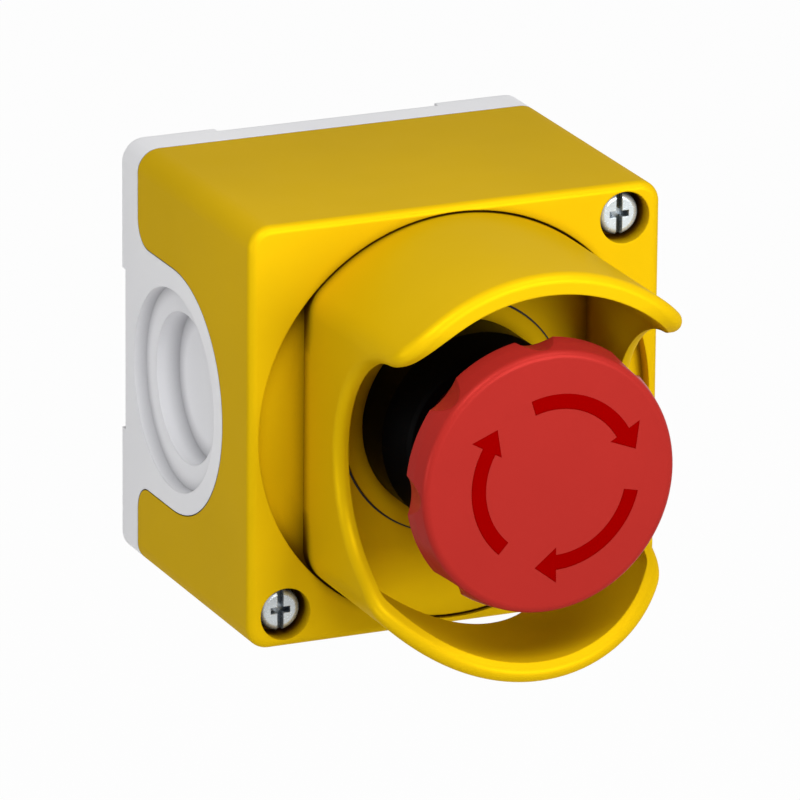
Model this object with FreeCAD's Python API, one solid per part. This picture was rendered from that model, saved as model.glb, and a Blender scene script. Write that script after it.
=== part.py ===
import FreeCAD, Part
import math
import os

# Boxed emergency stop push button with a finger guard.
# Frame: +Z up, +X right, the front looks along -Y. The origin is the middle of the wall face.
# Lengths in millimetres. "Forward" distances are counted from the cover's front face.

V = FreeCAD.Vector

# Box
BOX_WIDTH = 63.8
BOX_HEIGHT = 63.0
BOX_DEPTH = 47.5
CORNER_R = 3.3
FRONT_ROUND = 1.2
WALL = 2.8
BASE_FLOOR = 2.6
BASE_EDGE = 5.8
PAD_HEIGHT = 1.2
PAD_LENGTH_X = 14.4
PAD_LENGTH_Z = 19.3
SEAM = 0.15

# Dome lug and cable knock-out at each side
LUG_HALF = 18.2
LUG_CENTRE = 19.3
LUG_Z = -0.75
LUG_FLARE = 4.0
ENTRY_FACE_R = 15.0
ENTRY_FACE_DEPTH = 2.0
ENTRY_R = 11.2
ENTRY_DEPTH = 5.6
ENTRY_WEB = 1.4
ENTRY_BOSS_WALL = 1.6

# Seal in the seam
GASKET_SKIN = 0.8
GASKET_WIDTH = 1.2
GASKET_DEPTH = 1.0

# Wall screws, on the diagonal that has no cover screws
WALL_HOLE_R = 2.2
WALL_HOLE_INSET_X = 7.9
WALL_HOLE_INSET_Z = 8.0

# Cover screws
SCREW_INSET_X = 5.7
SCREW_INSET_Z = 5.0
SCREW_SHANK_R = 1.5
SCREW_HEAD_R = 3.2
SCREW_HEAD_HEIGHT = 2.4
SCREW_HEAD_DOME = 1.0
SCREW_SINK = 1.85
SCREW_SEAL = 0.6
SCREW_TIP_GAP = 0.6
SCREW_SLOT = 0.95
SCREW_SLOT_DEPTH = 1.4
SCREW_CROSS = 3.0
SCREW_FLARE = 1.3
SCREW_FLARE_DEPTH = 0.9
COUNTERBORE_R = 3.85
SCREW_COLUMN_R = 4.7
SCREW_PLAY = 0.2
THREAD_FIT = 0.03

# Round recess in the cover's front
RECESS_MARGIN = 1.05
RECESS_DEPTH = 2.2
FRONT_PLATE = 2.6

# Finger guard
GUARD_GAP = 0.35
GUARD_REACH_TOP = 31.3
GUARD_REACH_BOTTOM = 32.5
GUARD_WALL = 3.0
GUARD_FLAT_WALL = 2.0
GUARD_FLAT_CUT = 7.5
GUARD_FLAT_ROUND = 5.0
GUARD_FLOOR = 1.7
GUARD_HUB_R = 17.3
GUARD_RIM_ROUND = 1.4
GUARD_CORNER_R = 6.0
NOTCH_CENTRE = 27.0
NOTCH_R = 17.75
NOTCH_TOE_R = 45.0
DRAIN_R = 13.0

# Operator: collar in front of the panel, barrel through it
BARREL_R = 11.0
PANEL_PLAY = 0.15
KEY_WIDTH = 3.0
KEY_HEIGHT = 1.05
KEY_PLAY = 0.1
COLLAR_R = 14.5
COLLAR_STRAIGHT = 7.0
COLLAR_LENGTH = 12.0
COLLAR_TIP_R = 12.6
COLLAR_EDGE = 0.5
COLLAR_GASKET_WIDTH = 1.5
COLLAR_GASKET_THICK = 1.0
COLLAR_GASKET_LAND = 0.6
MOUTH_PLAY = 0.6
MOUTH_FLOOR = 4.0
BARREL_LENGTH = 22.0
NUT_WALL = 4.2
NUT_THICK = 5.0
NUT_GRIPS = 8
NUT_GRIP_R = 1.6

# Head
HEAD_R = 20.0
HEAD_FACE = 32.5
HEAD_FACE_R = 19.1
HEAD_FACE_ROUND = 1.1
HEAD_SHOULDER = 29.6
HEAD_SHOULDER_R = 19.72
HEAD_RIM = 27.8
HEAD_CONE_FOOT = 18.5
HEAD_NECK_R = 10.0
HEAD_NECK_FOOT = 8.6
HEAD_GRIPS = 8
HEAD_GRIP_R = 4.6
HEAD_GRIP_DEPTH = 1.2
HEAD_GRIP_END = 31.3
HEAD_GRIP_START = 92.0
HEAD_HOLLOW_R = 7.4
HEAD_HOLLOW_TOP = 15.0

# Moving pieces in the barrel
PRESS_TRAVEL = 4.0
TWIST = 45.0
RUN_FIT = 0.05
TURN_GAP = 0.1
PLUNGER_R = 8.2
PLUNGER_REAR = 17.0
PLUNGER_PLUG = 4.0
PLUNGER_WALL = 1.1
SPINDLE_R = 3.5
SPINDLE_TAIL_R = 2.6
SPINDLE_TOP = 24.0
CAM_FRONT = 10.4
CAM_THICK = 2.2
CAM_GAP = 0.2
PAWL_WIDTH = 4.0
PAWL_THICK = 4.0
PAWL_INNER = 5.0
PAWL_OUTER = 9.2
PAWL_TRAVEL = 1.0
PAWL_PIN_R = 0.6
PAWL_PIN_AT = 5.6
PAWL_PIN_PLAY = 0.1
PAWL_SLOT_PLAY = 0.6

# Contact block on the base floor
BLOCK_WIDTH = 28.0
BLOCK_HEIGHT = 42.0
BLOCK_DEPTH = 20.5
BLOCK_WALL = 1.6
BLOCK_BACK = 2.0
BLOCK_LID = 2.0
SHELF_FROM_Z = 11.0
POLE_X = 6.0
BARRIER = 1.6
STRIP_WIDTH = 4.0
STRIP_THICK = 0.9
STRIP_END_Z = 18.5
STRIP_TIP_OVERHANG = 1.5
TIP_R = 1.4
TIP_THICK = 0.5
TIP_Z = 6.0
BRIDGE_THICK = 0.8
BRIDGE_HALF = 8.0
BRIDGE_PLAY = 0.1
CARRIER_STEM_R = 3.0
CARRIER_HUB_R = 3.4
CARRIER_BAR_HALF_Z = 2.2
CARRIER_SIDE = 1.3
CARRIER_SEAT = 1.5
CARRIER_FRONT_WEB = 4.0
CARRIER_STOP_GAP = 0.6
CONTACT_SPRING_LENGTH = 3.55
CONTACT_SPRING_R = 1.3
CONTACT_WIRE_R = 0.22
CONTACT_TURNS = 3
RETURN_SPRING_R = 1.75
RETURN_WIRE_R = 0.3
RETURN_TURNS = 7
RETURN_POCKET_PLAY = 0.25
TWIST_SPRING_R = 5.4
TWIST_WIRE_R = 0.4
TWIST_TURNS = 4
SPRING_SEAT = 0.05
CLAMP_SIZE = 4.8
CLAMP_THICK = 1.0
TERMINAL_Z = 15.5
TERMINAL_HEAD_R = 2.3
TERMINAL_HEAD_HEIGHT = 1.8
TERMINAL_SHANK_R = 1.5
TERMINAL_LENGTH = 5.0
TERMINAL_ACCESS_R = 2.7
WIRE_MOUTH = 4.2
SNAP_WIDTH = 8.0
SNAP_THICK = 2.0
SNAP_LEDGE = 1.2
SNAP_LEDGE_FROM = 8.2
SNAP_LEDGE_THICK = 2.0
SNAP_PLAY = 0.15
SNAP_HOOK_THICK = 1.6

# Places worked out from the sizes above
HALF_WIDTH = BOX_WIDTH / 2
HALF_HEIGHT = BOX_HEIGHT / 2
FLOOR_Y = -(PAD_HEIGHT + BASE_FLOOR)
RECESS_R = min(HALF_WIDTH, HALF_HEIGHT) - RECESS_MARGIN
GUARD_R = RECESS_R - GUARD_GAP
GUARD_FLAT = GUARD_R - GUARD_FLAT_CUT
GUARD_TOP_OF_FLOOR = GUARD_FLOOR - RECESS_DEPTH
HUB_TOP = 0.0
PANEL_BACK = -(RECESS_DEPTH + FRONT_PLATE)
SCREW_AT = (HALF_WIDTH - SCREW_INSET_X, HALF_HEIGHT - SCREW_INSET_Z)
WALL_HOLE_AT = (HALF_WIDTH - WALL_HOLE_INSET_X, HALF_HEIGHT - WALL_HOLE_INSET_Z)
SCREW_DIAGONAL = (1, -1)
FAR = 2 * (BOX_WIDTH + BOX_HEIGHT + BOX_DEPTH)

BLOCK_FRONT_Y = FLOOR_Y - BLOCK_DEPTH
BLOCK_LID_Y = BLOCK_FRONT_Y + BLOCK_LID
BLOCK_BACK_Y = FLOOR_Y - BLOCK_BACK
CARRIER_REAR_Y = BLOCK_BACK_Y - PRESS_TRAVEL - CARRIER_STOP_GAP
SPRING_SEAT_Y = CARRIER_REAR_Y - CARRIER_SEAT
BRIDGE_BACK_Y = SPRING_SEAT_Y - CONTACT_SPRING_LENGTH
BRIDGE_FRONT_Y = BRIDGE_BACK_Y - BRIDGE_THICK
CONTACT_Y = BRIDGE_FRONT_Y - TIP_THICK
STRIP_BACK_Y = CONTACT_Y - TIP_THICK
STRIP_FRONT_Y = STRIP_BACK_Y - STRIP_THICK
CLAMP_FRONT_Y = STRIP_FRONT_Y - CLAMP_THICK
CARRIER_FRONT_Y = BRIDGE_FRONT_Y - CARRIER_FRONT_WEB


def forward(distance):
    """Y of a plane this far in front of the cover's face."""
    return -(BOX_DEPTH + distance)


def rod(radius, y_front, y_back, x=0.0, z=0.0):
    """Cylinder along Y."""
    return Part.makeCylinder(radius, y_back - y_front, V(x, y_front, z), V(0, 1, 0))


def ring(inner, outer, y_front, y_back, x=0.0, z=0.0):
    return rod(outer, y_front, y_back, x, z).cut(rod(inner, y_front, y_back, x, z))


def block(x0, x1, y0, y1, z0, z1):
    return Part.makeBox(x1 - x0, y1 - y0, z1 - z0, V(x0, y0, z0))


def edges_along(shape, axis):
    """Straight edges that run along one axis."""
    found = []
    for edge in shape.Edges:
        if len(edge.Vertexes) == 2:
            run = edge.Vertexes[1].Point - edge.Vertexes[0].Point
            if run.Length > 0 and abs(run.dot(axis)) > 0.999 * run.Length:
                found.append(edge)
    return found


def box_prism(inset, y_front, y_back):
    """Prism of the box's rounded outline, drawn in by inset."""
    wide = HALF_WIDTH - inset
    high = HALF_HEIGHT - inset
    prism = block(-wide, wide, y_front, y_back, -high, high)
    return prism.makeFillet(max(CORNER_R - inset, WALL / 4), edges_along(prism, V(0, 1, 0)))


def base_side(grow):
    """All space on the base's side of the seam, grown by a distance."""
    edge = BASE_EDGE + grow
    half = LUG_HALF + grow
    flare = LUG_FLARE - grow
    space = block(-FAR, FAR, -edge, FAR, -FAR, FAR)
    space = space.fuse(block(-FAR, FAR, -LUG_CENTRE, 0, LUG_Z - half, LUG_Z + half))
    space = space.fuse(Part.makeCylinder(half, 2 * FAR, V(-FAR, -LUG_CENTRE, LUG_Z), V(1, 0, 0)))
    for side in (1, -1):
        z_near = LUG_Z + side * half
        z_far = LUG_Z + side * (half + flare)
        corner = block(-FAR, FAR, -(edge + flare), -edge, min(z_near, z_far), max(z_near, z_far))
        scoop = Part.makeCylinder(flare, 2 * FAR, V(-FAR, -(edge + flare), z_far), V(1, 0, 0))
        space = space.fuse(corner.cut(scoop))
    return space.removeSplitter()


def gasket_band():
    """Seal strip: a band of the wall that follows the seam."""
    tube = box_prism(GASKET_SKIN, forward(0), 0).cut(box_prism(GASKET_SKIN + GASKET_WIDTH, forward(0), 0))
    return tube.common(base_side(SEAM)).cut(base_side(-GASKET_DEPTH))


def cover_screw_places():
    return [(side * SCREW_AT[0], side * SCREW_AT[1]) for side in SCREW_DIAGONAL]


def wall_hole_places():
    return [(side * WALL_HOLE_AT[0], -side * WALL_HOLE_AT[1]) for side in SCREW_DIAGONAL]


def knock_out(side):
    """Boss inside one dome lug, and the stepped hole in it that a thin web closes."""
    outward = V(side, 0, 0)
    face = V(side * HALF_WIDTH, -LUG_CENTRE, LUG_Z)
    depth = ENTRY_DEPTH + ENTRY_WEB
    boss = Part.makeCylinder(ENTRY_FACE_R + ENTRY_BOSS_WALL, depth, face - outward * depth, outward)
    step = Part.makeCylinder(ENTRY_FACE_R, ENTRY_FACE_DEPTH, face - outward * ENTRY_FACE_DEPTH, outward)
    hole = Part.makeCylinder(ENTRY_R, ENTRY_DEPTH, face - outward * ENTRY_DEPTH, outward)
    return boss, step.fuse(hole)


def base_box():
    skin_y = -PAD_HEIGHT
    walls = box_prism(0, forward(0), skin_y).cut(box_prism(WALL, forward(0), 0))
    shape = walls.common(base_side(0)).fuse(box_prism(0, FLOOR_Y, skin_y))
    pads = box_prism(0, skin_y, 0)
    pads = pads.cut(block(-HALF_WIDTH + PAD_LENGTH_X, HALF_WIDTH - PAD_LENGTH_X, -FAR, FAR, -FAR, FAR))
    pads = pads.cut(block(-FAR, FAR, -FAR, FAR, -HALF_HEIGHT + PAD_LENGTH_Z, HALF_HEIGHT - PAD_LENGTH_Z))
    shape = shape.fuse(pads)
    outline = box_prism(0, -BASE_EDGE, skin_y)
    for x, z in cover_screw_places():
        shape = shape.fuse(rod(SCREW_COLUMN_R, -BASE_EDGE, skin_y, x, z).common(outline))
    for side in (1, -1):
        boss, hole = knock_out(side)
        shape = shape.fuse(boss).cut(hole)
        shape = shape.fuse(snap_arm(side))
    for x, z in cover_screw_places():
        shape = shape.cut(rod(SCREW_SHANK_R + THREAD_FIT, -BASE_EDGE, skin_y - SCREW_TIP_GAP / 2, x, z))
    for x, z in wall_hole_places():
        shape = shape.cut(rod(WALL_HOLE_R, FLOOR_Y, 0, x, z))
    return shape.cut(gasket_band()).removeSplitter()


def snap_arm(side):
    """Springy hook on the base floor that holds the contact block's ledge."""
    inner = BLOCK_WIDTH / 2 + SNAP_PLAY
    reach = BLOCK_WIDTH / 2 + SNAP_LEDGE + SNAP_PLAY
    hook_back = FLOOR_Y - SNAP_LEDGE_FROM - SNAP_LEDGE_THICK - SNAP_PLAY
    hook_front = hook_back - SNAP_HOOK_THICK
    half = SNAP_WIDTH / 2
    arm = block(reach, reach + SNAP_THICK, hook_front, FLOOR_Y, -half, half)
    arm = arm.fuse(block(inner, reach, hook_front, hook_back, -half, half))
    return arm if side > 0 else arm.mirror(V(0, 0, 0), V(1, 0, 0))


def panel_hole(radius, y_front, y_back):
    """Round hole with the notch for the operator's key at the top."""
    half = KEY_WIDTH / 2 + KEY_PLAY
    notch = block(-half, half, y_front, y_back, 0, BARREL_R + KEY_HEIGHT + KEY_PLAY)
    return rod(radius, y_front, y_back).fuse(notch)


def cover():
    shape = box_prism(0, forward(0), 0)
    front = [e for e in shape.Edges if abs(e.CenterOfMass.y - forward(0)) < SEAM]
    shape = shape.makeFillet(FRONT_ROUND, front)
    shape = shape.cut(box_prism(WALL, forward(PANEL_BACK), 0))
    outline = box_prism(WALL / 2, forward(PANEL_BACK), 0)
    for x, z in cover_screw_places():
        shape = shape.fuse(rod(SCREW_COLUMN_R, forward(PANEL_BACK), 0, x, z).common(outline))
    shape = shape.cut(base_side(SEAM))
    shape = shape.cut(rod(RECESS_R, forward(0), forward(-RECESS_DEPTH)))
    shape = shape.cut(panel_hole(BARREL_R + PANEL_PLAY, forward(0), forward(PANEL_BACK)))
    seat = SCREW_SINK + SCREW_HEAD_HEIGHT + SCREW_SEAL
    for x, z in cover_screw_places():
        shape = shape.cut(rod(COUNTERBORE_R, forward(0), forward(-seat), x, z))
        shape = shape.cut(rod(SCREW_SHANK_R + SCREW_PLAY, forward(0), 0, x, z))
    return shape.removeSplitter()


def cover_screws():
    top = forward(-SCREW_SINK)
    seat = top + SCREW_HEAD_HEIGHT
    tip = -PAD_HEIGHT - SCREW_TIP_GAP
    screws = []
    for x, z in cover_screw_places():
        head = rod(SCREW_HEAD_R, top, seat, x, z)
        rim = [e for e in head.Edges if abs(e.CenterOfMass.y - top) < SEAM and len(e.Vertexes) == 1]
        head = head.makeFillet(SCREW_HEAD_DOME, rim)
        half = SCREW_SLOT / 2
        bottom = top + SCREW_SLOT_DEPTH
        head = head.cut(block(x - half, x + half, top, bottom, z - SCREW_HEAD_R, z + SCREW_HEAD_R))
        head = head.cut(block(x - SCREW_CROSS / 2, x + SCREW_CROSS / 2, top, bottom, z - half, z + half))
        flare = SCREW_FLARE / 2
        diamond = block(x - flare, x + flare, top, top + SCREW_FLARE_DEPTH, z - flare, z + flare)
        diamond.rotate(V(x, top, z), V(0, 1, 0), 45)
        head = head.cut(diamond)
        screws.append(head.fuse(rod(SCREW_SHANK_R, seat, tip, x, z)))
    return Part.makeCompound(screws)


def cover_screw_seals():
    seat = forward(-SCREW_SINK - SCREW_HEAD_HEIGHT)
    rings = []
    for x, z in cover_screw_places():
        rings.append(ring(SCREW_SHANK_R + THREAD_FIT, SCREW_HEAD_R, seat, seat + SCREW_SEAL, x, z))
    return Part.makeCompound(rings)


def flatted_prism(radius, flat, rounding, y_front, y_back):
    """Round prism with flats at both sides, rounded where they meet."""
    prism = rod(radius, y_front, y_back).common(block(-flat, flat, y_front, y_back, -radius, radius))
    corners = [e for e in edges_along(prism, V(0, 1, 0)) if abs(abs(e.CenterOfMass.x) - flat) < SEAM]
    return prism.makeFillet(rounding, corners)


def guard_side_profile():
    """Guard seen from the side, as a thick plate across X.

    A round finger notch runs up into the hood's rounded corners. Below it a long bulging curve
    leads to the foremost point of the lower lip.
    """
    right = math.pi / 2
    corner = GUARD_REACH_TOP - GUARD_CORNER_R
    corner_z = math.sqrt((NOTCH_R + GUARD_CORNER_R) ** 2 - (NOTCH_CENTRE - corner) ** 2)
    corner_angle = math.atan2(corner_z, corner - NOTCH_CENTRE)
    lip = GUARD_REACH_BOTTOM - NOTCH_CENTRE
    lip_reach = math.hypot(lip, GUARD_R)
    span = NOTCH_R + NOTCH_TOE_R
    swing = math.acos((span ** 2 + lip_reach ** 2 - NOTCH_TOE_R ** 2) / (2 * span * lip_reach))
    toe_angle = math.atan2(-GUARD_R, lip) - swing
    toe = NOTCH_CENTRE + span * math.cos(toe_angle)
    toe_z = span * math.sin(toe_angle)
    toe_front = toe + NOTCH_TOE_R

    def at(distance, z):
        return V(-FAR / 2, forward(distance), z)

    def on_arc(centre, centre_z, radius, angle):
        return at(centre + radius * math.cos(angle), centre_z + radius * math.sin(angle))

    def arc(centre, centre_z, radius, start, end):
        middle = (start + end) / 2
        points = [on_arc(centre, centre_z, radius, angle) for angle in (start, middle, end)]
        return Part.Arc(*points)

    edges = [Part.LineSegment(at(-RECESS_DEPTH, -FAR), at(-RECESS_DEPTH, FAR)),
             Part.LineSegment(at(-RECESS_DEPTH, FAR), at(GUARD_REACH_TOP, FAR)),
             Part.LineSegment(at(GUARD_REACH_TOP, FAR), at(GUARD_REACH_TOP, corner_z)),
             arc(corner, corner_z, GUARD_CORNER_R, 0, corner_angle - 2 * right),
             arc(NOTCH_CENTRE, 0, NOTCH_R, corner_angle, toe_angle + 4 * right),
             arc(toe, toe_z, NOTCH_TOE_R, toe_angle + 2 * right, 0),
             Part.LineSegment(at(toe_front, toe_z), at(toe_front, -FAR)),
             Part.LineSegment(at(toe_front, -FAR), at(-RECESS_DEPTH, -FAR))]
    face = Part.Face(Part.Wire([e.toShape() for e in edges]))
    return face.extrude(V(FAR, 0, 0))


def guard():
    y_front = forward(max(GUARD_REACH_TOP, GUARD_REACH_BOTTOM) + GUARD_WALL)
    y_back = forward(-RECESS_DEPTH)
    outer = flatted_prism(GUARD_R, GUARD_FLAT, GUARD_FLAT_ROUND, y_front, y_back)
    shape = outer.common(guard_side_profile())
    rim = [e for e in shape.Edges if e.BoundBox.YMin < forward(HUB_TOP) and e.BoundBox.YMax < y_back - SEAM]
    rim = [e for e in rim if not edges_along(Part.Wire([e]), V(0, 1, 0))]
    shape = shape.makeFillet(GUARD_RIM_ROUND, rim)
    inner = flatted_prism(GUARD_R - GUARD_WALL, GUARD_FLAT - GUARD_FLAT_WALL, GUARD_FLAT_ROUND - GUARD_WALL,
                          y_front - GUARD_WALL, forward(GUARD_TOP_OF_FLOOR))
    shape = shape.cut(inner)
    shape = shape.fuse(rod(GUARD_HUB_R, forward(HUB_TOP), y_back))
    window = Part.makeCylinder(DRAIN_R, GUARD_R, V(0, forward(0), -GUARD_R - GUARD_WALL), V(0, 0, 1))
    reach = math.sqrt((GUARD_R - GUARD_WALL) ** 2 - DRAIN_R ** 2) - GUARD_WALL / 2
    window = window.common(block(-FAR, FAR, y_front, forward(GUARD_TOP_OF_FLOOR), -FAR, -reach))
    shape = shape.cut(window)
    shape = shape.cut(panel_hole(BARREL_R + PANEL_PLAY, forward(HUB_TOP), y_back))
    return shape.removeSplitter()


def spun(points):
    """Solid turned about the Y axis from (radius, forward) points."""
    line = Part.makePolygon([V(r, forward(f), 0) for r, f in points + points[:1]])
    return Part.Face(line).revolve(V(0, 0, 0), V(0, 1, 0), 360)


def collar_gasket_radii():
    inner = BARREL_R + KEY_HEIGHT + KEY_PLAY + COLLAR_GASKET_LAND / 2
    return inner, inner + COLLAR_GASKET_WIDTH


def collar_gasket():
    inner, outer = collar_gasket_radii()
    return ring(inner, outer, forward(HUB_TOP + COLLAR_GASKET_THICK), forward(HUB_TOP))


def operator_body():
    bore = PLUNGER_R + RUN_FIT
    mouth = HEAD_NECK_R + MOUTH_PLAY
    barrel = [(bore, -BARREL_LENGTH), (BARREL_R, -BARREL_LENGTH), (BARREL_R, HUB_TOP)]
    collar = [(COLLAR_R, HUB_TOP), (COLLAR_R, COLLAR_STRAIGHT), (COLLAR_TIP_R, COLLAR_LENGTH - COLLAR_EDGE),
              (COLLAR_TIP_R - COLLAR_EDGE, COLLAR_LENGTH)]
    inside = [(mouth, COLLAR_LENGTH), (mouth, MOUTH_FLOOR), (bore, MOUTH_FLOOR)]
    shape = spun(barrel + collar + inside)
    half = KEY_WIDTH / 2
    key = block(-half, half, forward(HUB_TOP), forward(PANEL_BACK + SCREW_PLAY), bore, BARREL_R + KEY_HEIGHT)
    shape = shape.fuse(key).cut(collar_gasket())
    pawl_front, pawl_back = pawl_levels()
    slot_half = PAWL_WIDTH / 2 + RUN_FIT
    slot_reach = PAWL_OUTER + PAWL_SLOT_PLAY
    slot_back = pawl_back + PRESS_TRAVEL + PAWL_SLOT_PLAY
    slots = block(-slot_reach, slot_reach, pawl_front - PAWL_SLOT_PLAY, slot_back, -slot_half, slot_half)
    return shape.cut(slots.cut(rod(bore, forward(0), 0))).removeSplitter()


def nut_radius():
    return BARREL_R + NUT_WALL


def locking_nut():
    front = forward(PANEL_BACK)
    shape = ring(BARREL_R + THREAD_FIT, nut_radius(), front, front + NUT_THICK)
    for turn in range(NUT_GRIPS):
        angle = 2 * math.pi * turn / NUT_GRIPS
        x = nut_radius() * math.cos(angle)
        z = nut_radius() * math.sin(angle)
        shape = shape.cut(rod(NUT_GRIP_R, front, front + NUT_THICK, x, z))
    return shape


def mushroom_head():
    """Head with finger scoops in its side wall that run out behind the smooth round face."""
    cap = [(0, HEAD_FACE), (HEAD_FACE_R, HEAD_FACE), (HEAD_SHOULDER_R, HEAD_SHOULDER), (HEAD_R, HEAD_RIM)]
    neck = [(HEAD_NECK_R, HEAD_CONE_FOOT), (HEAD_NECK_R, HEAD_NECK_FOOT), (HEAD_HOLLOW_R, HEAD_NECK_FOOT)]
    hollow = [(HEAD_HOLLOW_R, HEAD_HOLLOW_TOP), (SPINDLE_R, HEAD_HOLLOW_TOP), (SPINDLE_R, SPINDLE_TOP),
              (0, SPINDLE_TOP)]
    shape = spun(cap + neck + hollow)
    face_rim = [e for e in shape.Edges if e.BoundBox.YMax < forward(HEAD_FACE) + SEAM]
    shape = shape.makeFillet(HEAD_FACE_ROUND, face_rim)
    run = HEAD_GRIP_END - HEAD_RIM
    draft = (HEAD_R - HEAD_FACE_R) / (HEAD_FACE - HEAD_RIM)
    lean = math.atan2(HEAD_GRIP_DEPTH - draft * run, run)
    for turn in range(HEAD_GRIPS):
        angle = HEAD_GRIP_START + 360 * turn / HEAD_GRIPS
        away = HEAD_R + HEAD_GRIP_R - HEAD_GRIP_DEPTH
        scoop = Part.makeCylinder(HEAD_GRIP_R, FAR, V(0, FAR / 2, 0), V(0, -1, 0))
        scoop.rotate(V(0, 0, 0), V(0, 0, 1), math.degrees(lean))
        scoop.translate(V(away, forward(HEAD_RIM), 0))
        scoop.rotate(V(0, 0, 0), V(0, -1, 0), angle)
        shape = shape.cut(scoop)
    return shape


def release_spindle():
    tail = CAM_FRONT + CAM_THICK + CAM_GAP
    return spun([(0, SPINDLE_TOP), (SPINDLE_R, SPINDLE_TOP), (SPINDLE_R, -CAM_FRONT),
                 (SPINDLE_TAIL_R, -CAM_FRONT), (SPINDLE_TAIL_R, -tail), (0, -tail)])


def cam_radius():
    return PLUNGER_R - PLUNGER_WALL - CAM_GAP


def cam_slot(start):
    """Curved slot that draws a pawl pin inwards as the head turns."""
    half = PAWL_PIN_R + PAWL_PIN_PLAY

    def at(share, sideways):
        angle = start + math.radians(TWIST) * share
        radius = PAWL_PIN_AT - PAWL_TRAVEL * share + sideways
        return V(radius * math.cos(angle), forward(-CAM_FRONT), radius * math.sin(angle))

    def cap(share, end):
        angle = start + math.radians(TWIST) * share
        middle = at(share, 0)
        along = V(-math.sin(angle), 0, math.cos(angle)) * (end * half)
        return Part.Arc(at(share, end * half), middle + along, at(share, -end * half))

    sides = [Part.Arc(at(0, sideways), at(0.5, sideways), at(1, sideways)) for sideways in (-half, half)]
    edges = sides + [cap(0, -1), cap(1, 1)]
    wire = Part.Wire(Part.__sortEdges__([e.toShape() for e in edges]))
    return Part.Face(wire).extrude(V(0, CAM_THICK, 0))


def release_cam():
    front = forward(-CAM_FRONT)
    shape = ring(SPINDLE_TAIL_R, cam_radius(), front, front + CAM_THICK)
    for start in (0, math.pi):
        shape = shape.cut(cam_slot(start))
    return shape


def pawl_levels():
    """Y of the pawls' front and back faces at rest."""
    back = forward(-CAM_FRONT) - CAM_GAP
    return back - PAWL_THICK, back


def latch_pawl(side):
    front, back = pawl_levels()
    half = PAWL_WIDTH / 2
    shape = block(PAWL_INNER, PAWL_OUTER, front, back, -half, half).common(rod(PAWL_OUTER, front, back))
    shape = shape.fuse(rod(PAWL_PIN_R, back, forward(-CAM_FRONT) + CAM_THICK, PAWL_PIN_AT, 0))
    return shape if side > 0 else shape.mirror(V(0, 0, 0), V(1, 0, 0))


def plunger():
    front, back = pawl_levels()
    bore = SPINDLE_R + RUN_FIT
    chamber = cam_radius() + CAM_GAP
    shape = spun([(bore, HEAD_NECK_FOOT - TURN_GAP), (PLUNGER_R, HEAD_NECK_FOOT - TURN_GAP),
                  (PLUNGER_R, -PLUNGER_REAR), (chamber, -PLUNGER_REAR), (chamber, -CAM_FRONT + CAM_GAP / 2),
                  (bore, -CAM_FRONT + CAM_GAP / 2)])
    half = PAWL_WIDTH / 2 + RUN_FIT
    guide = block(-PLUNGER_R, PLUNGER_R, front - RUN_FIT, back + CAM_GAP, -half, half)
    return shape.cut(guide)


def plunger_end():
    rear = forward(-PLUNGER_REAR)
    return rod(cam_radius() + CAM_GAP, rear - PLUNGER_PLUG + CAM_GAP, rear)


def coil(radius, wire_r, turns, y_front, y_back, x=0.0):
    """Helical spring between two planes."""
    length = y_back - y_front - 2 * (wire_r + SPRING_SEAT)
    helix = Part.makeHelix(length / turns, length, radius)
    section = Part.Wire(Part.makeCircle(wire_r, V(radius, 0, 0), V(0, 1, 0)))
    pipe = Part.Wire(helix.Edges).makePipeShell([section], True, True)
    pipe.rotate(V(0, 0, 0), V(1, 0, 0), -90)
    pipe.translate(V(x, y_front + wire_r + SPRING_SEAT, 0))
    return pipe


def twist_spring():
    return coil(TWIST_SPRING_R, TWIST_WIRE_R, TWIST_TURNS, forward(HEAD_HOLLOW_TOP),
                forward(HEAD_NECK_FOOT - TURN_GAP))


def return_spring_pocket():
    """Front end of the bore in the carrier that the return spring stands in, and its radius."""
    return CARRIER_FRONT_Y, RETURN_SPRING_R + RETURN_WIRE_R + RETURN_POCKET_PLAY


def return_spring():
    front, _ = return_spring_pocket()
    return coil(RETURN_SPRING_R, RETURN_WIRE_R, RETURN_TURNS, front, BLOCK_BACK_Y)


def contact_springs():
    springs = []
    for x in (-POLE_X, POLE_X):
        springs.append(coil(CONTACT_SPRING_R, CONTACT_WIRE_R, CONTACT_TURNS, BRIDGE_BACK_Y, SPRING_SEAT_Y, x))
    return Part.makeCompound(springs)


def terminal_places():
    return [(x, z) for x in (-POLE_X, POLE_X) for z in (-TERMINAL_Z, TERMINAL_Z)]


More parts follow.
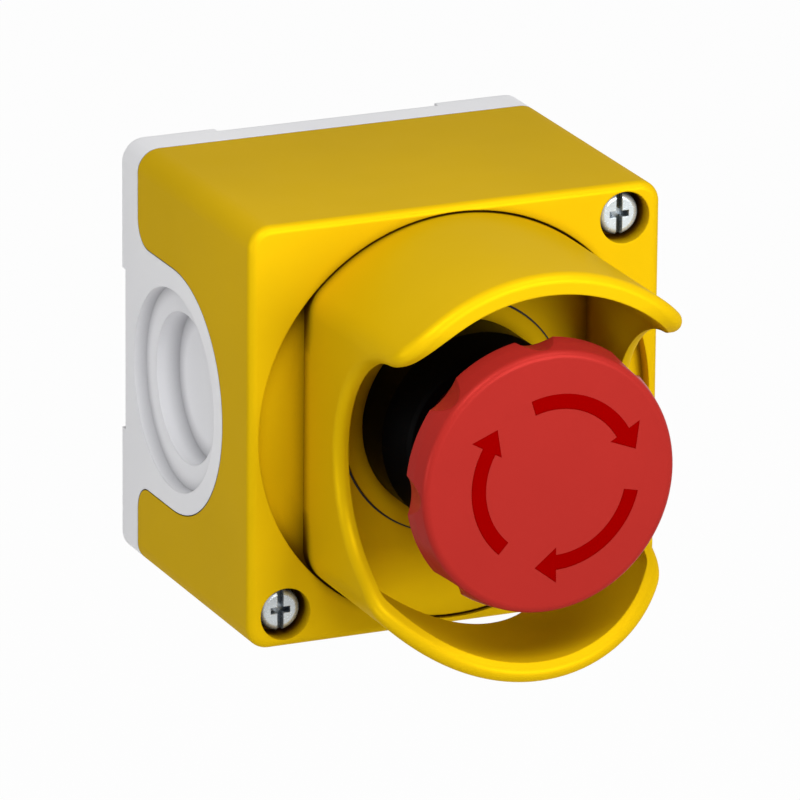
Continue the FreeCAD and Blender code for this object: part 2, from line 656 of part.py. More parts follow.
def contact_block_body():
    half_w = BLOCK_WIDTH / 2
    half_h = BLOCK_HEIGHT / 2
    in_w = half_w - BLOCK_WALL
    in_h = half_h - BLOCK_WALL
    shape = block(-half_w, half_w, BLOCK_LID_Y, FLOOR_Y, -half_h, half_h)
    shape = shape.cut(block(-in_w, in_w, BLOCK_LID_Y, BLOCK_BACK_Y, -in_h, in_h))
    for end in (1, -1):
        z_near, z_far = sorted((end * SHELF_FROM_Z, end * in_h))
        shape = shape.fuse(block(-in_w, in_w, STRIP_BACK_Y, BLOCK_BACK_Y, z_near, z_far))
        shape = shape.fuse(block(-BARRIER / 2, BARRIER / 2, BLOCK_LID_Y, BLOCK_BACK_Y, z_near, z_far))
        z_wall, z_out = sorted((end * in_h, end * half_h))
        for x in (-POLE_X, POLE_X):
            mouth = WIRE_MOUTH / 2
            shape = shape.cut(block(x - mouth, x + mouth, BLOCK_LID_Y, STRIP_FRONT_Y, z_wall, z_out))
        ledge_x = sorted((end * half_w, end * (half_w + SNAP_LEDGE)))
        ledge_back = FLOOR_Y - SNAP_LEDGE_FROM
        shape = shape.fuse(block(ledge_x[0], ledge_x[1], ledge_back - SNAP_LEDGE_THICK, ledge_back,
                                 -SNAP_WIDTH / 2, SNAP_WIDTH / 2))
    for x, z in terminal_places():
        pilot = STRIP_BACK_Y + TERMINAL_LENGTH + SCREW_TIP_GAP
        shape = shape.cut(rod(TERMINAL_SHANK_R + THREAD_FIT, STRIP_BACK_Y, pilot, x, z))
    return shape.removeSplitter()


def contact_block_cover():
    half_w = BLOCK_WIDTH / 2
    half_h = BLOCK_HEIGHT / 2
    shape = block(-half_w, half_w, BLOCK_FRONT_Y, BLOCK_LID_Y, -half_h, half_h)
    shape = shape.cut(rod(CARRIER_STEM_R + RUN_FIT, BLOCK_FRONT_Y, BLOCK_LID_Y))
    for x, z in terminal_places():
        shape = shape.cut(rod(TERMINAL_ACCESS_R, BLOCK_FRONT_Y, BLOCK_LID_Y, x, z))
    return shape


def contact_carrier():
    half = POLE_X + STRIP_WIDTH / 2 + BRIDGE_PLAY + CARRIER_SIDE
    front = CARRIER_FRONT_Y - CARRIER_SEAT
    shape = block(-half, half, front, CARRIER_REAR_Y, -CARRIER_BAR_HALF_Z, CARRIER_BAR_HALF_Z)
    shape = shape.fuse(rod(CARRIER_HUB_R, front, CARRIER_REAR_Y))
    shape = shape.fuse(rod(CARRIER_STEM_R, forward(-PLUNGER_REAR), front))
    window = STRIP_WIDTH / 2 + BRIDGE_PLAY
    for x in (-POLE_X, POLE_X):
        shape = shape.cut(block(x - window, x + window, BRIDGE_FRONT_Y, SPRING_SEAT_Y, -FAR, FAR))
    pocket_y, pocket_r = return_spring_pocket()
    return shape.cut(rod(pocket_r, pocket_y, CARRIER_REAR_Y))


def contact_bridges():
    bridges = []
    half = STRIP_WIDTH / 2
    for x in (-POLE_X, POLE_X):
        bridge = block(x - half, x + half, BRIDGE_FRONT_Y, BRIDGE_BACK_Y, -BRIDGE_HALF, BRIDGE_HALF)
        for z in (-TIP_Z, TIP_Z):
            bridge = bridge.fuse(rod(TIP_R, CONTACT_Y, BRIDGE_FRONT_Y, x, z))
        bridges.append(bridge)
    return Part.makeCompound(bridges)


def fixed_contacts():
    strips = []
    half = STRIP_WIDTH / 2
    for x, terminal_z in terminal_places():
        end = math.copysign(1, terminal_z)
        z_near, z_far = sorted((end * (TIP_Z - STRIP_TIP_OVERHANG), end * STRIP_END_Z))
        strip = block(x - half, x + half, STRIP_FRONT_Y, STRIP_BACK_Y, z_near, z_far)
        strip = strip.fuse(rod(TIP_R, STRIP_BACK_Y, CONTACT_Y, x, end * TIP_Z))
        hole = rod(TERMINAL_SHANK_R + THREAD_FIT, STRIP_FRONT_Y, STRIP_BACK_Y, x, terminal_z)
        strips.append(strip.cut(hole))
    return Part.makeCompound(strips)


def terminal_clamps():
    half = CLAMP_SIZE / 2
    clamps = []
    for x, z in terminal_places():
        plate = block(x - half, x + half, CLAMP_FRONT_Y, STRIP_FRONT_Y, z - half, z + half)
        clamps.append(plate.cut(rod(TERMINAL_SHANK_R + THREAD_FIT, CLAMP_FRONT_Y, STRIP_FRONT_Y, x, z)))
    return Part.makeCompound(clamps)


def terminal_screws():
    screws = []
    top = CLAMP_FRONT_Y - TERMINAL_HEAD_HEIGHT
    half = SCREW_SLOT / 2
    for x, z in terminal_places():
        head = rod(TERMINAL_HEAD_R, top, CLAMP_FRONT_Y, x, z)
        slot_end = top + SCREW_SLOT_DEPTH
        slot = block(x - TERMINAL_HEAD_R, x + TERMINAL_HEAD_R, top, slot_end, z - half, z + half)
        shank = rod(TERMINAL_SHANK_R, CLAMP_FRONT_Y, STRIP_BACK_Y + TERMINAL_LENGTH, x, z)
        screws.append(head.cut(slot).fuse(shank))
    return Part.makeCompound(screws)


NODES = {
    "base_box": base_box,
    "cover": cover,
    "cover_gasket": gasket_band,
    "cover_screws": cover_screws,
    "cover_screw_seals": cover_screw_seals,
    "guard": guard,
    "operator_body": operator_body,
    "collar_gasket": collar_gasket,
    "locking_nut": locking_nut,
    "mushroom_head": mushroom_head,
    "release_spindle": release_spindle,
    "release_cam": release_cam,
    "latch_pawl_left": lambda: latch_pawl(-1),
    "latch_pawl_right": lambda: latch_pawl(1),
    "plunger": plunger,
    "plunger_end": plunger_end,
    "twist_spring": twist_spring,
    "return_spring": return_spring,
    "contact_springs": contact_springs,
    "contact_block_body": contact_block_body,
    "contact_block_cover": contact_block_cover,
    "contact_carrier": contact_carrier,
    "contact_bridges": contact_bridges,
    "fixed_contacts": fixed_contacts,
    "terminal_clamps": terminal_clamps,
    "terminal_screws": terminal_screws,
}

os.makedirs("parts", exist_ok=True)
for name, make in NODES.items():
    shape = make()
    shape.exportStep("parts/" + name + ".step")
    print(name, "solids", len(shape.Solids), "volume", round(shape.Volume, 2), "valid", shape.isValid())
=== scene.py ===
"""Looks of a boxed emergency stop push button: finishes, the arrow sign on its head, light and camera."""
import math
from collections import namedtuple

import bmesh
import bpy
from bpy.props import FloatProperty, FloatVectorProperty, IntProperty, PointerProperty
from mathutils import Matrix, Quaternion, Vector


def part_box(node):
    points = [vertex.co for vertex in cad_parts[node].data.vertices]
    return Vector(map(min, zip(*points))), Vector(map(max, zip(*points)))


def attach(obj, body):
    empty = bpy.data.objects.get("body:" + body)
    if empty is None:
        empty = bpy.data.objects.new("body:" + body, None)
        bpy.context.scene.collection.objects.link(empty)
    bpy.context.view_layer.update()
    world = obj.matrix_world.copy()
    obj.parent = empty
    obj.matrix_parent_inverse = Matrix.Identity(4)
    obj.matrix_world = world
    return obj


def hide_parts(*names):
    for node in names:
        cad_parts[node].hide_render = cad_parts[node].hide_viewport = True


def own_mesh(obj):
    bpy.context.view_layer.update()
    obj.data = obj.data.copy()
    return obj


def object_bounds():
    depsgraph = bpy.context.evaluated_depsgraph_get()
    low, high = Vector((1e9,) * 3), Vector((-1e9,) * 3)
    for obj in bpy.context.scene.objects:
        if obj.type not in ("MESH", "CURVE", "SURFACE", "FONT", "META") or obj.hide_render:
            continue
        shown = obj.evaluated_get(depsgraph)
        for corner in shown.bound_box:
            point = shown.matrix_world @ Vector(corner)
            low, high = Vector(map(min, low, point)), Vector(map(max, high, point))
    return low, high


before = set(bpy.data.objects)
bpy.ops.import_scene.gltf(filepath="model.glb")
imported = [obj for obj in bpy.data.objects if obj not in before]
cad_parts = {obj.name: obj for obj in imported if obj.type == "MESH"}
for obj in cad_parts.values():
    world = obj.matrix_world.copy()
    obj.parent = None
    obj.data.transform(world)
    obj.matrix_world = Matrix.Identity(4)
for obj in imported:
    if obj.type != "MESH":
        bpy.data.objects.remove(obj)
CAD_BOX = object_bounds()

bl_info = {
    "name": "Emergency Stop Button Dresser",
    "version": (1, 0, 0),
    "blender": (4, 5, 0),
    "location": "3D View > Sidebar > Stop Button",
    "description": "Finishes a boxed emergency stop push button and sets it on a pale stage",
    "category": "Object",
}

MM = 0.001
RING_STEPS = 128
ARROW_STEPS = 24
FLOOR_HALF = 4.0
FLOOR_GREY = 0.86
FLOOR_WHITENESS = 0.975  # share of plain white that the camera sees, the rest shows the shadow
SENSOR_WIDTH_MM = 36.0

# Sockets of a Mix node in colour mode
MIX_FACTOR, MIX_A, MIX_B, MIX_RESULT = 0, 6, 7, 2

# Lamps: angles in degrees from the front, distance and width in metres
Lamp = namedtuple("Lamp", "name azimuth elevation distance width")
LAMPS = (
    Lamp("key", 20, 10, 1.1, 0.5),
    Lamp("top", 28, 52, 0.35, 0.16),
    Lamp("near", -35, 45, 0.2, 0.08),
    Lamp("left", -80, -6, 1.1, 0.5),
)


def colour_property(name, description, default):
    return FloatVectorProperty(name=name, description=description, subtype="COLOR", size=3, min=0.0, max=1.0,
                               default=default)


class StopButtonFinishes(bpy.types.PropertyGroup):
    """Colours and gloss of the button's materials"""
    yellow: colour_property("Yellow", "Moulded cover and guard", (0.68, 0.428, 0.003))
    # Painted shade: the colour that the cover's and guard's recesses, corners and steps fall to
    deep_yellow: colour_property("Deep yellow", "Recesses of the cover and guard", (0.12, 0.05, 0.0))
    grey: colour_property("Grey", "Moulded base box", (0.96, 0.96, 0.985))
    # Painted shade: the colour that the base box's recesses and steps fall to
    deep_grey: colour_property("Deep grey", "Recesses of the base box", (0.34, 0.34, 0.36))
    red: colour_property("Red", "Mushroom head", (0.372, 0.0215, 0.0165))
    arrow_red: colour_property("Arrow red", "Ink of the arrows on the head", (0.26, 0.0, 0.0))
    black: colour_property("Black", "Collar and barrel", (0.002, 0.002, 0.002))
    ivory: colour_property("Ivory", "Moulded pieces inside", (0.62, 0.59, 0.52))
    zinc: colour_property("Zinc", "Plated screws", (0.57, 0.63, 0.67))
    wire: colour_property("Wire", "Drawn spring wire", (0.50, 0.50, 0.52))
    brass: colour_property("Brass", "Contact strips and bridges", (0.78, 0.55, 0.22))
    rubber: colour_property("Rubber", "Seals", (0.020, 0.020, 0.020))
    # Painted shade in the slots and corners of metal pieces
    metal_crevice_shade: colour_property("Tarnish", "Slots and corners of metal pieces", (0.12, 0.15, 0.18))
    shell_roughness: FloatProperty(name="Shell roughness", description="Roughness of the yellow shells",
                                   default=0.38, min=0.0, max=1.0, subtype="FACTOR")
    head_roughness: FloatProperty(name="Head roughness", description="Roughness of the red head",
                                  default=0.33, min=0.0, max=1.0, subtype="FACTOR")


class StopButtonArrows(bpy.types.PropertyGroup):
    """The curved arrows on the head's face"""
    count: IntProperty(name="Count", description="Arrows round the face", default=3, min=1, max=6)
    first_tail: FloatProperty(name="First tail", description="Angle of the first arrow's tail, seen from the front",
                              default=math.radians(107.7), subtype="ANGLE")
    sweep: FloatProperty(name="Sweep", description="Angle from an arrow's tail to its tip",
                         default=math.radians(92), subtype="ANGLE")
    head_sweep: FloatProperty(name="Head sweep", description="Angle that the arrow's point takes up",
                              default=math.radians(15), subtype="ANGLE")
    offset: FloatProperty(name="Offset", description="Sideways distance of the print's centre from the head's axis",
                          default=0.9 * MM, subtype="DISTANCE", unit="LENGTH")
    band_inner: FloatProperty(name="Band inside", description="Inner radius of the band",
                              default=10.75 * MM, subtype="DISTANCE", unit="LENGTH")
    band_outer: FloatProperty(name="Band outside", description="Outer radius of the band",
                              default=12.95 * MM, subtype="DISTANCE", unit="LENGTH")
    barb: FloatProperty(name="Barb", description="How far the point stands out at each side of the band",
                        default=1.5 * MM, subtype="DISTANCE", unit="LENGTH")
    lead: FloatProperty(name="Lead", description="How far the point's middle lies outside the band's middle",
                        default=0.4 * MM, subtype="DISTANCE", unit="LENGTH")
    film: FloatProperty(name="Film", description="Thickness of the ink on the face",
                        default=0.03 * MM, subtype="DISTANCE", unit="LENGTH")


class StopButtonHubShade(bpy.types.PropertyGroup):
    """Dark ring of painted shade at the foot of the guard's hub"""
    radius: FloatProperty(name="Radius", description="Radius of the hub", default=17.3 * MM,
                          subtype="DISTANCE", unit="LENGTH")
    width: FloatProperty(name="Width", description="Width of the seam", default=0.3 * MM,
                         subtype="DISTANCE", unit="LENGTH")
    sink: FloatProperty(name="Sink", description="From the cover's face back to the guard's floor",
                        default=0.5 * MM, subtype="DISTANCE", unit="LENGTH")
    film: FloatProperty(name="Film", description="Height of the seam above the guard's floor",
                        default=0.03 * MM, subtype="DISTANCE", unit="LENGTH")


class StopButtonStage(bpy.types.PropertyGroup):
    """Camera, light and floor"""
    azimuth: FloatProperty(name="Azimuth", description="Camera's turn round the object from its front",
                           default=math.radians(-24.25), subtype="ANGLE")
    elevation: FloatProperty(name="Elevation", description="Camera's height above the object as an angle",
                             default=math.radians(18.3), subtype="ANGLE")
    roll: FloatProperty(name="Roll", description="Camera's turn about its own line of sight",
                        default=math.radians(0.606), subtype="ANGLE")
    distance: FloatProperty(name="Distance", description="From the cover's face to the camera",
                            default=1.362, subtype="DISTANCE", unit="LENGTH")
    lens: FloatProperty(name="Lens", description="Focal length in millimetres", default=429.7, min=1.0)
    shift_x: FloatProperty(name="Shift X", description="Sideways shift of the picture", default=-0.0693)
    shift_y: FloatProperty(name="Shift Y", description="Upward shift of the picture", default=0.0195)
    floor_drop: FloatProperty(name="Floor drop", description="From the object's lowest point down to the floor",
                              default=0.10, subtype="DISTANCE", unit="LENGTH")
    ambient: FloatProperty(name="Ambient", description="Strength of the even light from all round", default=0.22)
    key_power: FloatProperty(name="Key power", description="Power of the lamp in front, in watts", default=7.5)
    top_power: FloatProperty(name="Top power", description="Power of the lamp above, in watts", default=0.42)
    near_power: FloatProperty(name="Near power", description="Power of the nearest lamp, in watts", default=0.16)
    left_power: FloatProperty(name="Left power", description="Power of the lamp at the left, in watts", default=4.9)


# Node setups shared by the finishes


def new_material(name):
    material = bpy.data.materials.new(name)
    material.use_nodes = True
    tree = material.node_tree
    shader = tree.nodes["Principled BSDF"]
    return material, tree, shader


def add_node(tree, kind, **inputs):
    """Shader node with values set on its input sockets, underscores standing for spaces."""
    node = tree.nodes.new(kind)
    for socket, value in inputs.items():
        node.inputs[socket.replace("_", " ")].default_value = value
    return node


def noise(tree, size, detail=2.0, stretch=(1.0, 1.0, 1.0)):
    """Noise whose blotches are about this many metres across."""
    where = add_node(tree, "ShaderNodeTexCoord")
    mapping = add_node(tree, "ShaderNodeMapping", Scale=stretch)
    pattern = add_node(tree, "ShaderNodeTexNoise", Scale=1.0 / size, Detail=detail)
    tree.links.new(where.outputs["Object"], mapping.inputs["Vector"])
    tree.links.new(mapping.outputs["Vector"], pattern.inputs["Vector"])
    return pattern


def vary_colour(tree, shader, pattern, colour, spread):
    """Base colour that drifts by a share either side of the given one."""
    ramp = add_node(tree, "ShaderNodeValToRGB")
    ramp.color_ramp.elements[0].position = 0.3
    ramp.color_ramp.elements[1].position = 0.7
    for element, share in zip(ramp.color_ramp.elements, (1.0 - spread, 1.0 + spread)):
        element.color = [min(part * share, 1.0) for part in colour] + [1.0]
    tree.links.new(pattern.outputs["Fac"], ramp.inputs["Fac"])
    tree.links.new(ramp.outputs["Color"], shader.inputs["Base Color"])


def vary_roughness(tree, shader, pattern, roughness, spread):
    """Roughness that drifts by an amount either side of the given one."""
    span = add_node(tree, "ShaderNodeMapRange")
    span.inputs["To Min"].default_value = max(roughness - spread, 0.02)
    span.inputs["To Max"].default_value = min(roughness + spread, 1.0)
    tree.links.new(pattern.outputs["Fac"], span.inputs["Value"])
    tree.links.new(span.outputs["Result"], shader.inputs["Roughness"])


def add_grain(tree, shader, pattern, depth, edge):
    """Surface relief of about this many metres, and edges that look broken over a radius."""
    soft_edge = add_node(tree, "ShaderNodeBevel", Radius=edge)
    bump = add_node(tree, "ShaderNodeBump", Strength=1.0, Distance=depth)
    tree.links.new(soft_edge.outputs["Normal"], bump.inputs["Normal"])
    tree.links.new(pattern.outputs["Fac"], bump.inputs["Height"])
    tree.links.new(bump.outputs["Normal"], shader.inputs["Normal"])


def paint_crevice_shade(tree, shader, reach, shade_colour, closed, clear):
    """Painted shade: lets the base colour fall to a shade colour between a clear and a closed share of open sky, so
    recesses, corners and steps look shaded.
    """
    tint = shader.inputs["Base Color"].links[0].from_socket
    open_sky = add_node(tree, "ShaderNodeAmbientOcclusion", Distance=reach)
    unshaded_share = add_node(tree, "ShaderNodeMapRange", From_Min=closed, From_Max=clear)
    blend = add_node(tree, "ShaderNodeMix")
    blend.data_type = "RGBA"
    blend.inputs[MIX_A].default_value = list(shade_colour) + [1.0]
    tree.links.new(open_sky.outputs["AO"], unshaded_share.inputs["Value"])
    tree.links.new(unshaded_share.outputs["Result"], blend.inputs[MIX_FACTOR])
    tree.links.new(tint, blend.inputs[MIX_B])
    tree.links.new(blend.outputs[MIX_RESULT], shader.inputs["Base Color"])


def moulded_plastic(name, colour, roughness, grain=0.25 * MM, gloss=0.5, lustre=0.0):
    """Injection moulding: fine spark-eroded grain, and a slow drift of colour and gloss.

    The lustre is a share of shine in the plastic's own colour, as of a pigment with flakes.
    """
    material, tree, shader = new_material(name)
    vary_colour(tree, shader, noise(tree, 22 * MM), colour, spread=0.025)
    vary_roughness(tree, shader, noise(tree, 6 * MM, detail=4.0), roughness, spread=0.05)
    add_grain(tree, shader, noise(tree, grain, detail=3.0), depth=0.004 * MM, edge=0.3 * MM)
    shader.inputs["Specular IOR Level"].default_value = gloss
    shader.inputs["Metallic"].default_value = lustre
    return material


def moulded_shell(name, colour, roughness, recess_shade, reach, clear, gloss=0.0, lustre=0.0):
    """Large moulding with painted shade: its colour deepens in its recesses, corners and steps."""
    material = moulded_plastic(name, colour, roughness, gloss=gloss, lustre=lustre)
    tree = material.node_tree
    paint_crevice_shade(tree, tree.nodes["Principled BSDF"], reach, recess_shade, closed=0.3, clear=clear)
    return material


def metal(name, colour, roughness, metal_crevice_shade, scratch=0.5 * MM, stretch=(1.0, 1.0, 1.0), shine=1.0):
    """Plated, drawn or rolled metal with fine scratches and painted shade in its slots and corners; less shine
    leaves it partly matt.
    """
    material, tree, shader = new_material(name)
    vary_colour(tree, shader, noise(tree, 2.5 * MM), colour, spread=0.06)
    lines = noise(tree, scratch, detail=4.0, stretch=stretch)
    vary_roughness(tree, shader, lines, roughness, spread=0.08)
    add_grain(tree, shader, lines, depth=0.002 * MM, edge=0.15 * MM)
    # Painted shade in slots and corners
    paint_crevice_shade(tree, shader, 1.2 * MM, metal_crevice_shade, closed=0.45, clear=1.0)
    shader.inputs["Metallic"].default_value = shine
    return material


def finish(name):
    """Material of that name, made on its first use."""
    made = bpy.data.materials.get(name)
    if made:
        return made
    looks = bpy.context.scene.stop_button_finishes
    makers = {
        # Yellow shells with painted shade in their recesses, corners and steps
        "yellow_moulding": lambda: moulded_shell(name, looks.yellow, looks.shell_roughness, looks.deep_yellow,
                                                 reach=5 * MM, clear=0.7, lustre=0.14),
        # Grey box with painted shade in its recesses and steps
        "grey_moulding": lambda: moulded_shell(name, looks.grey, 0.5, looks.deep_grey,
                                               reach=4 * MM, clear=0.85, gloss=0.3),
        "red_moulding": lambda: moulded_plastic(name, looks.red, looks.head_roughness, gloss=0.03, lustre=0.12),
        "arrow_ink": lambda: moulded_plastic(name, looks.arrow_red, 0.5, gloss=0.0),
        "black_moulding": lambda: moulded_plastic(name, looks.black, 0.4, gloss=0.02),
        "ivory_moulding": lambda: moulded_plastic(name, looks.ivory, 0.5),
        "seal_rubber": lambda: moulded_plastic(name, looks.rubber, 0.75, grain=0.5 * MM, gloss=0.2),
        "zinc_plate": lambda: metal(name, looks.zinc, 0.26, looks.metal_crevice_shade, shine=0.45),
        "spring_wire": lambda: metal(name, looks.wire, 0.3, looks.metal_crevice_shade, scratch=0.2 * MM),
        "contact_brass": lambda: metal(name, looks.brass, 0.3, looks.metal_crevice_shade, stretch=(1.0, 1.0, 0.15)),
    }
    return makers[name]()


def dress(material_name, *nodes):
    """Gives CAD nodes one of the finishes."""
    material = finish(material_name)
    for node in nodes:
        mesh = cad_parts[node].data
        mesh.materials.clear()
        mesh.materials.append(material)


def add_piece(context, name, shape, material_name, body):
    """Turns a bmesh into an object that rides a body."""
    bmesh.ops.recalc_face_normals(shape, faces=shape.faces)
    mesh = bpy.data.meshes.new(name)
    shape.to_mesh(mesh)
    shape.free()
    mesh.materials.append(finish(material_name))
    piece = bpy.data.objects.new(name, mesh)
    context.scene.collection.objects.link(piece)
    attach(piece, body)


def flat_ring(inner, outer, y_front, y_back):
    """Thin ring about the button's axis."""
    turns = [2 * math.pi * step / RING_STEPS for step in range(RING_STEPS)]
    shape = bmesh.new()
    loops = []
    for radius, y in ((inner, y_back), (inner, y_front), (outer, y_front), (outer, y_back)):
        loops.append([shape.verts.new((radius * math.cos(turn), y, radius * math.sin(turn))) for turn in turns])
    for loop, following in zip(loops, loops[1:] + loops[:1]):
        for step in range(RING_STEPS):
            shape.faces.new((loop[step - 1], loop[step], following[step], following[step - 1]))
    return shape


class STOPBUTTON_OT_enclosure(bpy.types.Operator):
    """Finish the base box, the cover and the finger guard"""
    bl_idname = "stop_button.enclosure"
    bl_label = "Enclosure"

    def execute(self, context):
        dress("grey_moulding", "base_box")
        dress("yellow_moulding", "cover", "guard")
        # A thin dark ring of painted shade in the crease at the hub's foot, drawn in the black seal finish
        shade_ring = context.scene.stop_button_seam
        floor_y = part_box("cover")[0].y + shade_ring.sink
        ring = flat_ring(shade_ring.radius, shade_ring.radius + shade_ring.width, floor_y - shade_ring.film, floor_y + shade_ring.film)
        add_piece(context, "hub_seam", ring, "seal_rubber", "enclosure")
        return {"FINISHED"}


class STOPBUTTON_OT_fasteners(bpy.types.Operator):
    """Finish the cover screws, the locking nut and all seals"""
    bl_idname = "stop_button.fasteners"
    bl_label = "Screws and Seals"

    def execute(self, context):
        dress("zinc_plate", "cover_screws")
        dress("black_moulding", "locking_nut")
        dress("seal_rubber", "cover_gasket", "cover_screw_seals", "collar_gasket")
        return {"FINISHED"}


def add_return_coil(context):
    """Copy of the return spring as a piece of its own that rides the enclosure, with the CAD spring hidden."""
    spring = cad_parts["return_spring"]
    coil = bpy.data.objects.new("return_spring_coil", spring.data.copy())
    coil.matrix_world = spring.matrix_world
    context.scene.collection.objects.link(coil)
    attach(coil, "enclosure")
    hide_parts("return_spring")
    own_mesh(coil)


class STOPBUTTON_OT_operator(bpy.types.Operator):
    """Finish the collar, the mushroom head and the release mechanism"""
    bl_idname = "stop_button.operator"
    bl_label = "Push Button"

    def execute(self, context):
        dress("black_moulding", "operator_body")
        dress("red_moulding", "mushroom_head")
        dress("ivory_moulding", "release_spindle", "release_cam", "latch_pawl_left", "latch_pawl_right", "plunger",
              "plunger_end")
        dress("spring_wire", "twist_spring", "return_spring")
        add_return_coil(context)
        return {"FINISHED"}


class STOPBUTTON_OT_contacts(bpy.types.Operator):
    """Finish the contact block and its metal pieces"""
    bl_idname = "stop_button.contacts"
    bl_label = "Contact Block"

    def execute(self, context):
        dress("ivory_moulding", "contact_block_body", "contact_carrier")
        dress("black_moulding", "contact_block_cover")
        dress("contact_brass", "contact_bridges", "fixed_contacts")
        dress("zinc_plate", "terminal_clamps", "terminal_screws")
        dress("spring_wire", "contact_springs")
        return {"FINISHED"}


def arrow_outline(sizes, tail):
    """Points round one clockwise arrow, as (x, z) seen from the front."""
    middle = (sizes.band_inner + sizes.band_outer) / 2 + sizes.lead
    half = (sizes.band_outer - sizes.band_inner) / 2 + sizes.barb
    tip = tail - sizes.sweep
    neck = tip + sizes.head_sweep
    angles = [tail + (neck - tail) * step / ARROW_STEPS for step in range(ARROW_STEPS + 1)]
    outer = [(sizes.band_outer, angle) for angle in angles]
    inner = [(sizes.band_inner, angle) for angle in reversed(angles)]
    point = [(middle + half, neck), (middle / math.cos(sizes.head_sweep), tip), (middle - half, neck)]
    corners = outer + point + inner
    return [(sizes.offset + radius * math.cos(angle), radius * math.sin(angle)) for radius, angle in corners]


class STOPBUTTON_OT_arrows(bpy.types.Operator):
    """Print the release arrows on the head's face"""
    bl_idname = "stop_button.arrows"
    bl_label = "Arrows"

    def execute(self, context):
        sizes = context.scene.stop_button_arrows
        face_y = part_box("mushroom_head")[0].y
        for number in range(sizes.count):
            tail = sizes.first_tail - number * 2 * math.pi / sizes.count
            shape = bmesh.new()
            corners = [shape.verts.new((x, face_y + sizes.film, z)) for x, z in arrow_outline(sizes, tail)]
            sheet = shape.faces.new(corners)
            grown = bmesh.ops.extrude_face_region(shape, geom=[sheet])
            raised = [item for item in grown["geom"] if isinstance(item, bmesh.types.BMVert)]
            bmesh.ops.translate(shape, vec=Vector((0, -2 * sizes.film, 0)), verts=raised)
            add_piece(context, f"release_arrow_{number + 1}", shape, "arrow_ink", "head")
        return {"FINISHED"}


def white_backed(tree, shader_socket, whiteness):
    """Mixes plain white into a shader, for what the camera and mirror-like surfaces see."""
    path = add_node(tree, "ShaderNodeLightPath")
    seen = path.outputs["Is Camera Ray"]
    for kind in ("Is Glossy Ray", "Is Transmission Ray"):
        either = add_node(tree, "ShaderNodeMath")
        either.operation = "MAXIMUM"
        tree.links.new(seen, either.inputs[0])
        tree.links.new(path.outputs[kind], either.inputs[1])
        seen = either.outputs[0]
    share = add_node(tree, "ShaderNodeMath")
    share.operation = "MULTIPLY"
    share.inputs[1].default_value = whiteness
    tree.links.new(seen, share.inputs[0])
    white = add_node(tree, "ShaderNodeEmission", Strength=1.0)
    mix = add_node(tree, "ShaderNodeMixShader")
    tree.links.new(share.outputs[0], mix.inputs["Fac"])
    tree.links.new(shader_socket, mix.inputs[1])
    tree.links.new(white.outputs["Emission"], mix.inputs[2])
    return mix.outputs["Shader"]


def floor_paint():
    """Matt floor that the camera sees as nearly white."""
    material, tree, shader = new_material("pale_floor")
    shader.inputs["Base Color"].default_value = (FLOOR_GREY, FLOOR_GREY, FLOOR_GREY, 1.0)
    shader.inputs["Roughness"].default_value = 0.9
    shader.inputs["Specular IOR Level"].default_value = 0.0
    mixed = white_backed(tree, shader.outputs["BSDF"], FLOOR_WHITENESS)
    tree.links.new(mixed, tree.nodes["Material Output"].inputs["Surface"])
    return material


def add_floor(context, drop):
    mesh = bpy.data.meshes.new("floor")
    sides = ((-1, -1), (1, -1), (1, 1), (-1, 1))
    corners = [(x * FLOOR_HALF, y * FLOOR_HALF, CAD_BOX[0][2] - drop) for x, y in sides]
    mesh.from_pydata(corners, [], [(0, 1, 2, 3)])
    mesh.materials.append(floor_paint())
    floor = bpy.data.objects.new("floor", mesh)
    context.scene.collection.objects.link(floor)


def seen_from(azimuth, elevation, distance):
    """Offset of a place that looks at the object, the azimuth counted from the front towards +X."""
    across = math.cos(elevation) * distance
    return Vector((math.sin(azimuth) * across, -math.cos(azimuth) * across, math.sin(elevation) * distance))


def aimed(location, target, roll=0.0):
    """Turn that points a lamp or camera at a target."""
    aim = (target - location).to_track_quat("-Z", "Y")
    return aim @ Quaternion((0, 0, 1), roll)


def add_lamp(context, name, location, target, width, power):
    lamp = bpy.data.lights.new(name, "AREA")
    lamp.shape = "SQUARE"
    lamp.size = width
    lamp.energy = power
    holder = bpy.data.objects.new(name, lamp)
    holder.location = location
    holder.rotation_mode = "QUATERNION"
    holder.rotation_quaternion = aimed(location, target)
    context.scene.collection.objects.link(holder)


def add_camera(context, stage, target):
    lens = bpy.data.cameras.new("camera")
    lens.sensor_width = SENSOR_WIDTH_MM
    lens.lens = stage.lens
    lens.shift_x = stage.shift_x
    lens.shift_y = stage.shift_y
    camera = bpy.data.objects.new("camera", lens)
    camera.location = target + seen_from(stage.azimuth, stage.elevation, stage.distance)
    camera.rotation_mode = "QUATERNION"
    camera.rotation_quaternion = aimed(camera.location, target, stage.roll)
    context.scene.collection.objects.link(camera)
    context.scene.camera = camera


def light_world(context, ambient):
    world = bpy.data.worlds.new("studio")
    world.use_nodes = True
    tree = world.node_tree
    even = tree.nodes["Background"]
    even.inputs["Color"].default_value = (1.0, 1.0, 1.0, 1.0)
    even.inputs["Strength"].default_value = ambient
    mixed = white_backed(tree, even.outputs["Background"], 1.0)
    tree.links.new(mixed, tree.nodes["World Output"].inputs["Surface"])
    context.scene.world = world


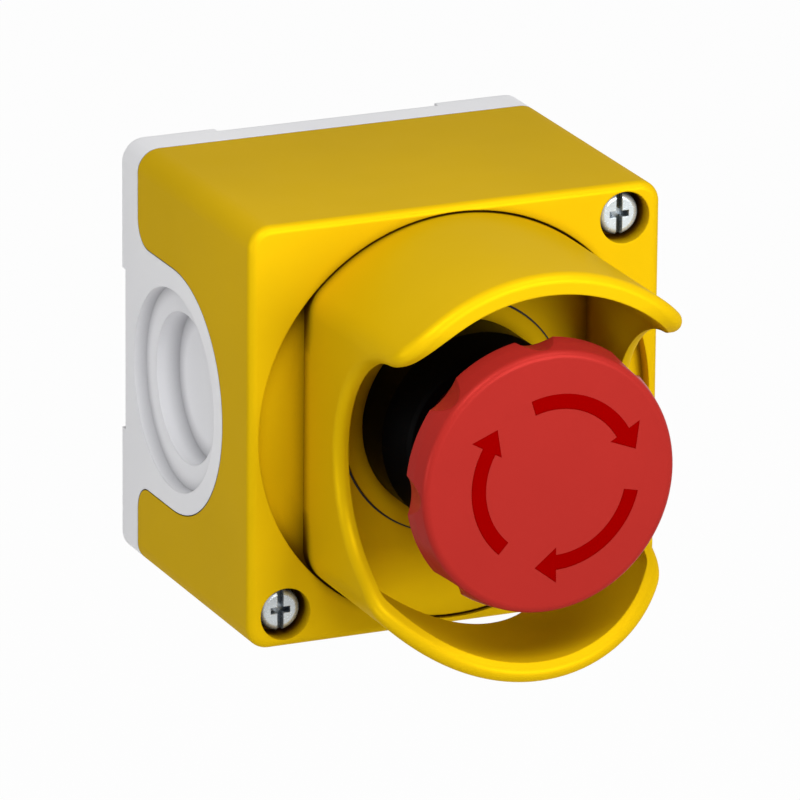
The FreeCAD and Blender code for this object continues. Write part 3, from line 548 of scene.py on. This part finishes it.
class STOPBUTTON_OT_stage(bpy.types.Operator):
    """Set up the floor, the lamps and the camera"""
    bl_idname = "stop_button.stage"
    bl_label = "Stage"

    def execute(self, context):
        stage = context.scene.stop_button_stage
        target = Vector((0.0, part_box("cover")[0].y, 0.0))
        add_floor(context, stage.floor_drop)
        add_camera(context, stage, target)
        light_world(context, stage.ambient)
        for lamp in LAMPS:
            place = target + seen_from(math.radians(lamp.azimuth), math.radians(lamp.elevation), lamp.distance)
            add_lamp(context, f"{lamp.name}_lamp", place, target, lamp.width, getattr(stage, f"{lamp.name}_power"))
        context.scene.view_settings.view_transform = "Standard"
        return {"FINISHED"}


STEPS = (
    STOPBUTTON_OT_enclosure,
    STOPBUTTON_OT_fasteners,
    STOPBUTTON_OT_operator,
    STOPBUTTON_OT_contacts,
    STOPBUTTON_OT_arrows,
    STOPBUTTON_OT_stage,
)

GROUPS = {
    "stop_button_finishes": StopButtonFinishes,
    "stop_button_arrows": StopButtonArrows,
    "stop_button_seam": StopButtonHubShade,
    "stop_button_stage": StopButtonStage,
}


class STOPBUTTON_PT_sidebar(bpy.types.Panel):
    """Lists the steps that dress the stop button"""
    bl_idname = "STOPBUTTON_PT_sidebar"
    bl_label = "Stop Button"
    bl_space_type = "VIEW_3D"
    bl_region_type = "UI"
    bl_category = "Stop Button"

    def draw(self, context):
        for step in STEPS:
            self.layout.operator(step.bl_idname)
        for group_name in GROUPS:
            group = getattr(context.scene, group_name)
            box = self.layout.box()
            for name in group.bl_rna.properties.keys():
                if name not in {"rna_type", "name"}:
                    box.prop(group, name)


def register():
    for name, group in GROUPS.items():
        bpy.utils.register_class(group)
        setattr(bpy.types.Scene, name, PointerProperty(type=group))
    for kind in STEPS + (STOPBUTTON_PT_sidebar,):
        bpy.utils.register_class(kind)


def unregister():
    for kind in reversed(STEPS + (STOPBUTTON_PT_sidebar,)):
        bpy.utils.unregister_class(kind)
    for name, group in GROUPS.items():
        delattr(bpy.types.Scene, name)
        bpy.utils.unregister_class(group)


def main():
    register()
    bpy.ops.stop_button.enclosure()
    bpy.ops.stop_button.fasteners()
    bpy.ops.stop_button.operator()
    bpy.ops.stop_button.contacts()
    bpy.ops.stop_button.arrows()
    bpy.ops.stop_button.stage()


if __name__ == "__main__":
    main()
